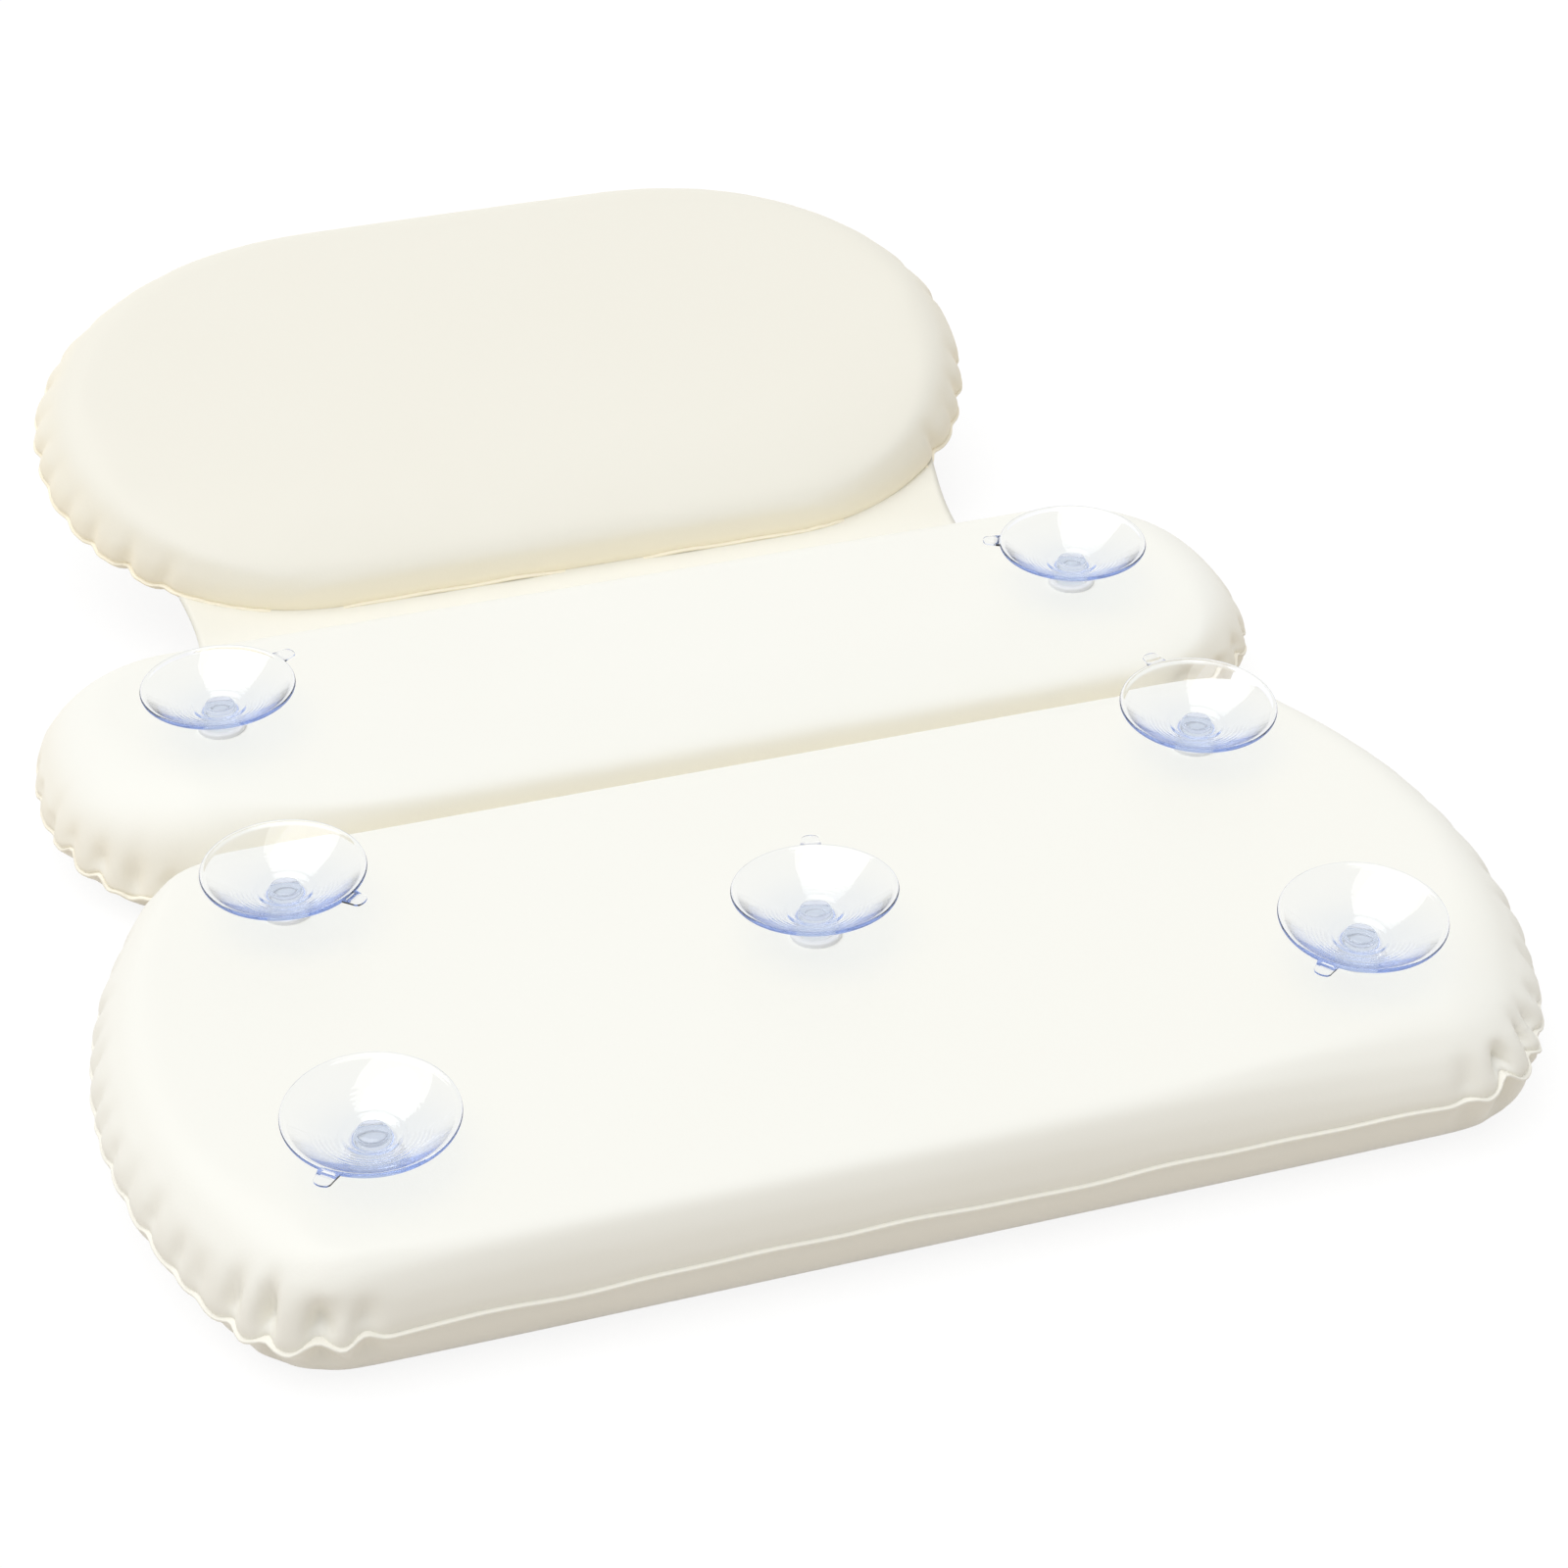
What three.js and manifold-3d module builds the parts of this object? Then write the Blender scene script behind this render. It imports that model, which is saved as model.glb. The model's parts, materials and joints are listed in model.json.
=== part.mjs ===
// Folding bath pillow: three foam cushions in welded vinyl, joined by two vinyl webs,
// with suction cups on the back. It lies on its soft side, with the cups up.
// Millimetres. X runs across, Y towards the head cushion, Z up. The origin is on the
// resting surface, under the middle of the lower cushion.

import * as THREE from 'three';
import { mergeVertices } from 'three/addons/utils/BufferGeometryUtils.js';
import Module from 'manifold-3d';

const wasm = await Module();
wasm.setup();

// Cushion plans, seam to seam
const lowerWidth = 390;
const lowerDepth = 195;
const lowerCornerRadius = 34;
const lowerSideBow = 16;
const middleWidth = 375;
const middleDepth = 109;
const middleCornerRadius = 45;
const middleSideBow = 1;
const headWidth = 313;
const headDepth = 172;
const headCornerRadius = 83;
const headSideBow = 0.6;
const headBackStretch = 21; // its back corners run this much further along the back

// Cushion sections: the rise of each face from the seam, and how far in its edge rounds over
const backRise = 18.5;
const frontRise = 17.5;
const lowerBackReach = 9;
const middleBackReach = 14;
const frontReach = 9;
const headBackRise = 16;
const headBackReach = 10;
const headFrontRise = 12;
const headFrontReach = 32;
const crownReach = 5;
const crownRise = 0.9;
const headCrownReach = 24;
const headCrownRise = 1.6;

// Vinyl sheet and its welded flange
const skinThickness = 0.8;
const flangeWidth = 2.5;
const clearance = 0.3;

// Webs between the cushions, from seam to seam, and the way the head cushion lies: tilted
// up, and a little to the left, as far as the soft web lets it
const lowerWebLength = 10;
const lowerWebHalfWidth = 150;
const headWebLength = 22.8;
const headWebHalfWidth = 126;
const webWaist = 0.04;
const headTilt = THREE.MathUtils.degToRad(16);
const headShift = -6;

// Suction cups: the rim stands clear of the vinyl on a short neck
const cupRadius = 22.5;
const cupHeight = 14.4;
const cupLip = 1;
const cupLipDepth = 0.7;
const bowlDepth = 8;
const bowlWall = 1.5;
const bowlFloorWall = 2.4;
const nubRadius = 4.4;
const nubHeight = 1.4;
const neckRadius = 4.5;
const studRadius = 6.5;
const studThickness = 3.4;
const studChamfer = 0.5;
const tabLength = 5.5;
const tabWidth = 5;
const tabThickness = 0.9;
const tabDrop = 0.2;
const bowlBands = [0.45, 0.75]; // shares of the inner rim's radius

// Moulded anchors that hold the cups' studs under the back skin
const anchorWall = 1.2;
const anchorRoof = 0.7;
const anchorFlangeReach = 1.4;
const anchorFlangeThickness = 1;
const collarWall = 1.9;
const collarHeight = 1.2;
const neckPlay = 0.6;
const studPlay = 0.9;

// Where the cups stand, from the seams at the sides and at the front or back
const lowerCupInset = 62.5;
const frontCupSetback = 44.6;
const backCupSetback = 39.4;
const middleCupInset = 55;
const middleCupSetback = 49.1;

// Facets
const edgeSteps = 3;
const cornerSteps = 6;
const sideSteps = 2;
const cupFacets = 20;
const anchorFacets = 12;
const webColumns = 24;
const webRows = 4;
const tabFacets = 8;
const mergeTolerance = 1e-3;

// Each place has a lean towards the front edge and the way its pull tab points, in degrees
const lowerCupX = lowerWidth / 2 - lowerCupInset;
const frontCupY = frontCupSetback - lowerDepth / 2;
const backCupY = lowerDepth / 2 - backCupSetback;
const centreCupY = (frontCupY + backCupY) / 2;
const lowerCups = [
  { place: 'front_left', x: -lowerCupX, y: frontCupY, lean: 5, tabTurn: 231 },
  { place: 'front_right', x: lowerCupX, y: frontCupY, lean: 5, tabTurn: 222 },
  { place: 'centre', x: 0, y: centreCupY, lean: -2.5, tabTurn: 75 },
  { place: 'back_left', x: -lowerCupX, y: backCupY, lean: 2.5, tabTurn: 310 },
  { place: 'back_right', x: lowerCupX, y: backCupY, lean: 5, tabTurn: 100 },
];
const middleCupX = middleWidth / 2 - middleCupInset;
const middleCupY = middleCupSetback - middleDepth / 2;
const middleCups = [
  { place: 'middle_left', x: -middleCupX, y: middleCupY, lean: 1, tabTurn: 27 },
  { place: 'middle_right', x: middleCupX, y: middleCupY, lean: 1, tabTurn: 159 },
];

const vinyl = new THREE.MeshStandardMaterial({ color: 0xf3f1e6, roughness: 0.5 });
const foam = new THREE.MeshStandardMaterial({ color: 0xeee2b4, roughness: 0.95 });
const clearVinyl = new THREE.MeshStandardMaterial({
  color: 0xdce6f5,
  roughness: 0.08,
  transparent: true,
  opacity: 0.4,
});
const anchorVinyl = new THREE.MeshStandardMaterial({ color: 0xe9edee, roughness: 0.3 });

// Solids for cutting and joining
function toSolid(geometry) {
  const bare = geometry.clone();
  bare.deleteAttribute('normal');
  bare.deleteAttribute('uv');
  const merged = mergeVertices(bare, mergeTolerance);
  const corners = merged.index.array;
  const triangles = [];
  for (let i = 0; i < corners.length; i += 3) {
    const [a, b, c] = corners.slice(i, i + 3);
    if (a !== b && b !== c && c !== a) triangles.push(a, b, c);
  }
  const vertProperties = new Float32Array(merged.attributes.position.array);
  const triVerts = new Uint32Array(triangles);
  return new wasm.Manifold(new wasm.Mesh({ numProp: 3, vertProperties, triVerts }));
}

function toGeometry(solid) {
  const mesh = solid.getMesh();
  const geometry = new THREE.BufferGeometry();
  geometry.setAttribute('position', new THREE.BufferAttribute(mesh.vertProperties, 3));
  geometry.setIndex(new THREE.BufferAttribute(mesh.triVerts, 1));
  geometry.computeVertexNormals();
  return geometry;
}

// Plan of a cushion: straight front and back, round corners and sides that bow out.
// The back corners may be stretched along the back. A positive inset shrinks the plan
// evenly, and a negative one adds the flange. A corner keeps a little of its radius
// however far it is inset, and leaves a little straight side.
const leastCornerShare = 0.1;
const mostSideShare = 0.98;

function planFrame(plan, inset) {
  const halfDepth = plan.depth / 2 - inset;
  const least = leastCornerShare * plan.cornerRadius;
  const most = mostSideShare * halfDepth;
  const radius = Math.min(Math.max(plan.cornerRadius - inset, least), most);
  const cornerY = halfDepth - radius;
  const sideAngle = 2 * Math.atan(plan.sideBow / cornerY);
  const sideRadius = cornerY / Math.sin(sideAngle) + radius;
  const cornerX = plan.width / 2 - inset - plan.sideBow - radius;
  return { radius, cornerX, cornerY, sideAngle, sideRadius };
}

function planOutline(plan, inset) {
  const { radius, cornerX, cornerY, sideAngle, sideRadius } = planFrame(plan, inset);
  const sideX = plan.width / 2 - inset - sideRadius;
  const quarter = [];
  for (let i = 0; i <= sideSteps; i++) {
    const turn = (sideAngle * i) / sideSteps;
    quarter.push({ x: sideX + sideRadius * Math.cos(turn), y: sideRadius * Math.sin(turn), turn });
  }
  for (let i = 1; i <= cornerSteps; i++) {
    const turn = sideAngle + ((Math.PI / 2 - sideAngle) * i) / cornerSteps;
    quarter.push({ x: cornerX + radius * Math.cos(turn), y: cornerY + radius * Math.sin(turn), turn });
  }
  const mirrored = (points) => [...points, ...points.map(([x, y]) => [-x, y]).reverse()];
  const stretched = ({ x, y, turn }) => [x - plan.backStretch * (1 - Math.cos(turn)), y];
  const backHalf = mirrored(quarter.map(stretched));
  const frontHalf = mirrored(quarter.map(({ x, y }) => [x, -y])).slice(1, -1).reverse();
  return [...backHalf, ...frontHalf].map(([x, y]) => new THREE.Vector2(x, y));
}

// How far the edge of a plan lies behind its straight run at x, past a corner that isn't
// stretched
function edgeSetback(plan, inset, x) {
  const { radius, cornerX } = planFrame(plan, inset);
  const past = Math.max(Math.abs(x) - cornerX, 0);
  return radius - Math.sqrt(Math.max(radius ** 2 - past ** 2, 0));
}

// Section of one face, from the seam up the rounded edge and over the crown. A face that
// lies inset from the outer one starts at its own height above the seam.
function faceSection(plan, face, inset, start) {
  const { rise, reach } = face;
  const shoulder = rise - plan.crownRise - inset;
  const section = [];
  for (let i = 0; i <= edgeSteps; i++) {
    const turn = ((Math.PI / 2) * i) / edgeSteps;
    section.push({
      inset: inset + (reach - inset) * (1 - Math.cos(turn)),
      height: start + (shoulder - start) * Math.sin(turn),
    });
  }
  section.push({ inset: reach + plan.crownReach, height: rise - inset });
  return section;
}

// Closed body through a stack of outlines, capped flat at both ends
function loft(plan, section, side) {
  const rings = section.map(({ inset, height }) =>
    planOutline(plan, inset).map((p) => new THREE.Vector3(p.x, p.y, side * height)),
  );
  const count = rings[0].length;
  const triangles = [];
  for (let k = 0; k + 1 < rings.length; k++) {
    for (let i = 0; i < count; i++) {
      const a = k * count + i;
      const b = k * count + ((i + 1) % count);
      triangles.push([a, a + count, b + count], [a, b + count, b]);
    }
  }
  const last = (rings.length - 1) * count;
  const flat = planOutline(plan, section[0].inset);
  const caps = THREE.ShapeUtils.triangulateShape(flat, []);
  for (const [a, b, c] of caps) {
    triangles.push([a, b, c], [last + c, last + b, last + a]);
  }
  if (side < 0) triangles.forEach((triangle) => triangle.reverse());
  const geometry = new THREE.BufferGeometry().setFromPoints(rings.flat());
  geometry.setIndex(triangles.flat());
  geometry.computeVertexNormals();
  return geometry;
}

// One vinyl skin: a shallow tray whose flange is welded to the other skin's
function skinGeometry(plan, face, side) {
  const seamHalfGap = clearance / 2;
  const flangeTop = seamHalfGap + skinThickness;
  const outer = faceSection(plan, face, 0, flangeTop).reverse();
  const inner = faceSection(plan, face, skinThickness, seamHalfGap);
  const flange = [
    { inset: -flangeWidth, height: flangeTop },
    { inset: -flangeWidth, height: seamHalfGap },
  ];
  return loft(plan, [...outer, ...flange, ...inner], side);
}

function foamGeometry(plan) {
  const depth = skinThickness + clearance;
  const back = faceSection(plan, plan.back, depth, 0).reverse();
  const front = faceSection(plan, plan.front, depth, 0).slice(1);
  const section = [...back, ...front.map(({ inset, height }) => ({ inset, height: -height }))];
  return loft(plan, section, 1);
}

function turned(profile, facets) {
  const points = profile.map(([radius, height]) => new THREE.Vector2(radius, height));
  return new THREE.LatheGeometry(points, facets).rotateX(Math.PI / 2);
}

// Heights of a cup and its anchor, measured from the vinyl's outer face
const anchorTop = -(skinThickness + clearance);
const socketRoofZ = anchorTop - anchorRoof;
const studTop = socketRoofZ - studPlay;
const studBottom = studTop - studThickness;
const socketFloorZ = studBottom - studPlay;
const anchorBottom = socketFloorZ - anchorWall;
const neckBore = neckRadius + neckPlay;
const collarRadius = neckBore + collarWall;
const socketRadius = studRadius + studPlay;
const anchorRadius = socketRadius + anchorWall;
const anchorFlangeRadius = anchorRadius + anchorFlangeReach;

function anchorGeometry() {
  return turned([
    [0, anchorBottom],
    [anchorRadius, anchorBottom],
    [anchorRadius, anchorTop - anchorFlangeThickness],
    [anchorFlangeRadius, anchorTop - anchorFlangeThickness],
    [anchorFlangeRadius, anchorTop],
    [collarRadius, anchorTop],
    [collarRadius, collarHeight],
    [neckBore, collarHeight],
    [neckBore, socketRoofZ],
    [socketRadius, socketRoofZ],
    [socketRadius, socketFloorZ],
    [0, socketFloorZ],
  ], anchorFacets);
}

// The bowl is a dish with a pull tab on its lip and a nub in its middle, on a studded neck
function cupGeometry() {
  const innerRim = cupRadius - cupLip;
  const bowlFloor = cupHeight - bowlDepth;
  const dish = (radius) => bowlFloor + bowlDepth * (radius / innerRim) ** 2;
  const bands = bowlBands.map((share) => share * innerRim);
  const outside = bands.map((radius) => [radius, dish(radius) - bowlWall]);
  const inside = bands.map((radius) => [radius, dish(radius)]).reverse();
  const nubTop = dish(nubRadius) + nubHeight;
  const bowl = turned([
    [0, studBottom],
    [studRadius - studChamfer, studBottom],
    [studRadius, studBottom + studChamfer],
    [studRadius, studTop - studChamfer],
    [neckRadius, studTop],
    [neckRadius, dish(neckRadius) - bowlFloorWall],
    ...outside,
    [cupRadius, cupHeight - cupLipDepth],
    [cupRadius, cupHeight],
    [innerRim, cupHeight],
    ...inside,
    [nubRadius, dish(nubRadius)],
    [nubRadius, nubTop],
    [0, nubTop],
  ], cupFacets);
  const halfTab = tabWidth / 2;
  const tabEnd = cupRadius + tabLength - halfTab;
  const tabShape = new THREE.Shape();
  tabShape.moveTo(innerRim + cupLip / 2, -halfTab);
  tabShape.lineTo(tabEnd, -halfTab);
  tabShape.absarc(tabEnd, 0, halfTab, -Math.PI / 2, Math.PI / 2, false);
  tabShape.lineTo(innerRim + cupLip / 2, halfTab);
  const tab = new THREE.ExtrudeGeometry(tabShape, {
    depth: tabThickness,
    bevelEnabled: false,
    curveSegments: tabFacets,
  });
  tab.translate(0, 0, cupHeight - tabDrop - tabThickness);
  return toGeometry(toSolid(bowl).add(toSolid(tab)));
}

// Round cuts through a face for the anchors, from below to above it
function cutRound(geometry, cups, radius, bottom, top) {
  let solid = toSolid(geometry);
  for (const { x, y } of cups) {
    const plug = new THREE.CylinderGeometry(radius, radius, top - bottom, anchorFacets);
    plug.rotateX(Math.PI / 2);
    plug.translate(x, y, (top + bottom) / 2);
    solid = solid.subtract(toSolid(plug));
  }
  return toGeometry(solid);
}

// A web follows one cushion's edge to the fold, turns by the tilt and runs on to the other's,
// which may lie a little to one side
function webGeometry(nearPlan, farPlan, length, halfWidth, tilt, shift) {
  const hem = flangeWidth + clearance;
  const halfThickness = skinThickness; // two sheets, welded
  const columns = webColumns + 1;
  const faces = [[], []];
  for (let row = 0; row <= webRows; row++) {
    const share = row / webRows;
    const reach = halfWidth * (1 - webWaist * Math.sin(Math.PI * share));
    for (let column = 0; column <= webColumns; column++) {
      const x = shift / 2 + reach * Math.sin((Math.PI * column) / webColumns - Math.PI / 2);
      const near = length / 2 - hem + edgeSetback(nearPlan, -hem, x);
      const far = length / 2 - hem + edgeSetback(farPlan, -hem, x - shift);
      const along = share * (near + far) - near;
      const slope = along > 0 ? tilt : 0;
      const facing = tilt * THREE.MathUtils.smoothstep(along, -near, near);
      const y = along * Math.cos(slope);
      const z = along * Math.sin(slope);
      const rise = new THREE.Vector3(0, -Math.sin(facing), Math.cos(facing));
      faces.forEach((face, i) => {
        const offset = i === 0 ? halfThickness : -halfThickness;
        face.push(new THREE.Vector3(x, y, z).addScaledVector(rise, offset));
      });
    }
  }
  const below = faces[0].length;
  const triangles = [];
  const quad = (a, b, c, d) => triangles.push(a, b, c, a, c, d);
  for (let row = 0; row < webRows; row++) {
    for (let column = 0; column < webColumns; column++) {
      const a = row * columns + column;
      quad(a, a + 1, a + 1 + columns, a + columns);
      quad(below + a, below + a + columns, below + a + 1 + columns, below + a + 1);
    }
    const left = row * columns;
    const right = left + webColumns;
    quad(left, left + columns, below + left + columns, below + left);
    quad(right, below + right, below + right + columns, right + columns);
  }
  for (let column = 0; column < webColumns; column++) {
    const end = webRows * columns + column;
    quad(column, below + column, below + column + 1, column + 1);
    quad(end, end + 1, below + end + 1, below + end);
  }
  const geometry = new THREE.BufferGeometry().setFromPoints(faces.flat());
  geometry.setIndex(triangles);
  geometry.computeVertexNormals();
  return geometry;
}

function addMesh(parent, name, geometry, material) {
  const mesh = new THREE.Mesh(geometry, material);
  mesh.name = name;
  parent.add(mesh);
  return mesh;
}

// A cushion: foam between two skins, and a cup in its anchor at each place on the back
function addCushion(parent, name, plan, cups) {
  const holeRadius = collarRadius + clearance;
  const pocketRadius = anchorFlangeRadius + clearance;
  const above = plan.back.rise + collarHeight;
  const pocketFloor = plan.back.rise + anchorBottom - clearance;
  const backSkin = cutRound(skinGeometry(plan, plan.back, 1), cups, holeRadius, pocketFloor, above);
  const frontSkin = skinGeometry(plan, plan.front, -1);
  const core = cutRound(foamGeometry(plan), cups, pocketRadius, pocketFloor, above);
  addMesh(parent, `${name}_back_skin`, backSkin, vinyl);
  addMesh(parent, `${name}_front_skin`, frontSkin, vinyl);
  addMesh(parent, `${name}_foam_core`, core, foam);
  for (const { place, x, y, lean, tabTurn } of cups) {
    const anchor = addMesh(parent, `cup_anchor_${place}`, anchorGeometry(), anchorVinyl);
    anchor.position.set(x, y, plan.back.rise);
    const cup = addMesh(parent, `suction_cup_${place}`, cupGeometry(), clearVinyl);
    cup.position.set(x, y, plan.back.rise);
    cup.rotation.set(THREE.MathUtils.degToRad(lean), 0, THREE.MathUtils.degToRad(tabTurn));
  }
}

function addWeb(parent, name, plans, length, halfWidth, tilt, shift) {
  addMesh(parent, name, webGeometry(plans[0], plans[1], length, halfWidth, tilt, shift), vinyl);
}

const slabShape = {
  backStretch: 0,
  front: { rise: frontRise, reach: frontReach },
  crownReach,
  crownRise,
};
const lowerPlan = {
  width: lowerWidth,
  depth: lowerDepth,
  cornerRadius: lowerCornerRadius,
  sideBow: lowerSideBow,
  back: { rise: backRise, reach: lowerBackReach },
  ...slabShape,
};
const middlePlan = {
  width: middleWidth,
  depth: middleDepth,
  cornerRadius: middleCornerRadius,
  sideBow: middleSideBow,
  back: { rise: backRise, reach: middleBackReach },
  ...slabShape,
};
const headPlan = {
  width: headWidth,
  depth: headDepth,
  cornerRadius: headCornerRadius,
  sideBow: headSideBow,
  backStretch: headBackStretch,
  back: { rise: headBackRise, reach: headBackReach },
  front: { rise: headFrontRise, reach: headFrontReach },
  crownReach: headCrownReach,
  crownRise: headCrownRise,
};

const lowerFoldY = lowerDepth / 2 + lowerWebLength / 2;
const middleY = lowerFoldY + lowerWebLength / 2 + middleDepth / 2;
const headFoldY = middleY + middleDepth / 2 + headWebLength / 2;
const headReach = headWebLength / 2 + headDepth / 2;

const pillow = new THREE.Group();
pillow.position.z = frontRise;

const lowerCushion = new THREE.Group();
addCushion(lowerCushion, 'lower', lowerPlan, lowerCups);

const lowerFold = new THREE.Group();
lowerFold.position.y = lowerFoldY;
addWeb(lowerFold, 'lower_web', [lowerPlan, middlePlan], lowerWebLength, lowerWebHalfWidth, 0, 0);

const middleCushion = new THREE.Group();
middleCushion.position.y = middleY;
addCushion(middleCushion, 'middle', middlePlan, middleCups);

const headFold = new THREE.Group();
headFold.position.y = headFoldY;
const headWebPlans = [middlePlan, headPlan];
addWeb(headFold, 'head_web', headWebPlans, headWebLength, headWebHalfWidth, headTilt, headShift);

const headCushion = new THREE.Group();
headCushion.position.set(headShift, headReach * Math.cos(headTilt), headReach * Math.sin(headTilt));
headCushion.rotation.x = headTilt;
headFold.add(headCushion);
addCushion(headCushion, 'head', headPlan, []);

pillow.add(lowerCushion, lowerFold, middleCushion, headFold);

export default pillow;
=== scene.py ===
# Folding bath pillow lying on its soft side: vinyl cushions, webs and clear suction cups. Metres.
import json
import math
import random

import bmesh
import bpy
import numpy as np
from mathutils import Matrix, Vector, kdtree

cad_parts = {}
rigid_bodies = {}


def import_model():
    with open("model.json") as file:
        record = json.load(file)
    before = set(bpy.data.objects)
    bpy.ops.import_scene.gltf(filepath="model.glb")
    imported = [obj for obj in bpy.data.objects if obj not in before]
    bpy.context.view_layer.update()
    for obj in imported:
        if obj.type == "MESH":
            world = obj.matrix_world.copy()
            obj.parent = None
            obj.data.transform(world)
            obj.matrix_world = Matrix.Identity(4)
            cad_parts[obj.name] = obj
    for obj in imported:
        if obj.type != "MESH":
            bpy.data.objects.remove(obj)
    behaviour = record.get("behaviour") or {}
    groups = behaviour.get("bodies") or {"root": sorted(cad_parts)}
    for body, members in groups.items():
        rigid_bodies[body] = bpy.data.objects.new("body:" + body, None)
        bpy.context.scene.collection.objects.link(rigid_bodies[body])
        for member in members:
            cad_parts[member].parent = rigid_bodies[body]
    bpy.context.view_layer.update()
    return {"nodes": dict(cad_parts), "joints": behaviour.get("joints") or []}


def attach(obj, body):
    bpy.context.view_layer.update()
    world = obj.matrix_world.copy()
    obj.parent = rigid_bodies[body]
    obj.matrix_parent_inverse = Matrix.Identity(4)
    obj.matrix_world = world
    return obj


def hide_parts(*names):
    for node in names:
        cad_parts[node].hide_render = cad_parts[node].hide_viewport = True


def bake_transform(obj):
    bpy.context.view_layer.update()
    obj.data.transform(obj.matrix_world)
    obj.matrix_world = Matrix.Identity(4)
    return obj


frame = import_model()
scene = bpy.context.scene
scene.view_settings.view_transform = "Standard"
scene.cycles.max_bounces = 32
scene.cycles.glossy_bounces = 20
scene.cycles.transmission_bounces = 24
mm = 0.001
joints = {joint["name"]: joint for joint in frame["joints"]}
print("frame loaded:", len(frame["nodes"]), "nodes")

# Camera, from the photograph's seven cup rims
photoView = {
    "yaw": -16.99,
    "pitch": 33.04,
    "roll": -0.84,
    "distance": 1.032,
    "target": (0.0074, 0.0540, 0.0504),
    "lens": 85.55,
}


def addCamera(view):
    yaw = math.radians(view["yaw"])
    pitch = math.radians(view["pitch"])
    roll = math.radians(view["roll"])
    back = Vector((math.sin(yaw) * math.cos(pitch), -math.cos(yaw) * math.cos(pitch), math.sin(pitch)))
    level = Vector((math.cos(yaw), math.sin(yaw), 0))
    rise = back.cross(level)
    right = level * math.cos(roll) + rise * math.sin(roll)
    up = rise * math.cos(roll) - level * math.sin(roll)
    turn = Matrix((right, up, back)).transposed().to_4x4()
    data = bpy.data.cameras.new("photoCamera")
    data.lens = view["lens"]
    data.clip_start = 0.01
    camera = bpy.data.objects.new("photoCamera", data)
    camera.matrix_world = Matrix.Translation(Vector(view["target"]) + back * view["distance"]) @ turn
    scene.collection.objects.link(camera)
    scene.camera = camera


addCamera(photoView)
print("camera placed")


# Materials
def newMaterial(name):
    material = bpy.data.materials.new(name)
    material.use_nodes = True
    return material, material.node_tree, material.node_tree.nodes["Principled BSDF"]


def addNode(tree, kind, values=None, **settings):
    node = tree.nodes.new(kind)
    for name, value in settings.items():
        setattr(node, name, value)
    for socket, value in (values or {}).items():
        node.inputs[socket].default_value = value
    return node


vinylFinish = {
    "cream": (0.918, 0.916, 0.862, 1),
    "warmCream": (0.908, 0.902, 0.840, 1),
    # Painted shade: the lower cushion's walls and flange are painted a little darker and warmer
    "paintedWallLight": (0.918, 0.902, 0.825, 1),
    "mottleScale": 14,
    "roughLow": 0.42,
    "roughHigh": 0.54,
    "smearScale": 55,
    "grainScale": 1500,
    "grainDepth": 0.00006,
    "grainStrength": 0.25,
}
# Painted light: the middle's walls are painted brighter and warmer, a painted bounce glow
middlePaintedLightFinish = {**vinylFinish, "paintedWallLight": (0.945, 0.905, 0.785, 1)}
# Painted shade: the webs' painted wall colour is the head's painted shade
webPaintedShadeFinish = {**vinylFinish, "paintedWallLight": (0.865, 0.845, 0.758, 1)}
# Painted shade: the head's cover is painted darker and warmer all over for the shade of its tilt, with its
# walls painted brighter as bounce light
headPaintedShadeFinish = {
    **vinylFinish,
    "cream": (0.865, 0.845, 0.758, 1),
    "warmCream": (0.857, 0.833, 0.740, 1),
    "paintedWallLight": (1.0, 0.94, 0.775, 1),
}


# Vinyl is painted warmer where it stands up as a wall, standing in for the light that goes to and fro between
# the pieces there: painted bounce light on the middle and head cushions, painted shade on the lower one, its
# flange and the webs
def makeVinyl(name, finish):
    material, tree, shader = newMaterial(name)
    link = tree.links.new
    place = addNode(tree, "ShaderNodeTexCoord")
    mottle = addNode(tree, "ShaderNodeTexNoise", {"Scale": finish["mottleScale"], "Detail": 3.0})
    tint = addNode(tree, "ShaderNodeMix", {6: finish["cream"], 7: finish["warmCream"]}, data_type="RGBA")
    # Painted light: the steepness share blends each finish's painted wall colour in
    wall = addNode(tree, "ShaderNodeAttribute", attribute_name="paintedWallLightShare")
    warm = addNode(tree, "ShaderNodeMix", {7: finish["paintedWallLight"]}, data_type="RGBA")
    smear = addNode(tree, "ShaderNodeTexNoise", {"Scale": finish["smearScale"], "Detail": 4.0})
    sheen = addNode(tree, "ShaderNodeMapRange", {3: finish["roughLow"], 4: finish["roughHigh"]})
    grain = addNode(tree, "ShaderNodeTexVoronoi", {"Scale": finish["grainScale"]}, feature="SMOOTH_F1")
    relief = {"Strength": finish["grainStrength"], "Distance": finish["grainDepth"]}
    bump = addNode(tree, "ShaderNodeBump", relief)
    for texture in (mottle, smear, grain):
        link(place.outputs["Object"], texture.inputs["Vector"])
    link(mottle.outputs["Fac"], tint.inputs["Factor"])
    link(tint.outputs[2], warm.inputs[6])
    link(wall.outputs["Fac"], warm.inputs["Factor"])
    link(warm.outputs[2], shader.inputs["Base Color"])
    link(smear.outputs["Fac"], sheen.inputs["Value"])
    link(sheen.outputs["Result"], shader.inputs["Roughness"])
    link(grain.outputs["Distance"], bump.inputs["Height"])
    link(bump.outputs["Normal"], shader.inputs["Normal"])
    shader.inputs["IOR"].default_value = 1.5
    return material


clearFinish = {
    "clear": (0.992, 0.994, 1.0, 1),
    "edgeBlue": (0.05, 0.09, 0.33, 1),
    "edgeStart": 0.52,
    "edgeEnd": 0.98,
    "roughness": 0.015,
    "ior": 1.5,
    "absorb": (0.20, 0.40, 0.82, 1),
    "density": 32.0,
    "lampShare": (0.955, 0.965, 0.985, 1),
}


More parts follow.
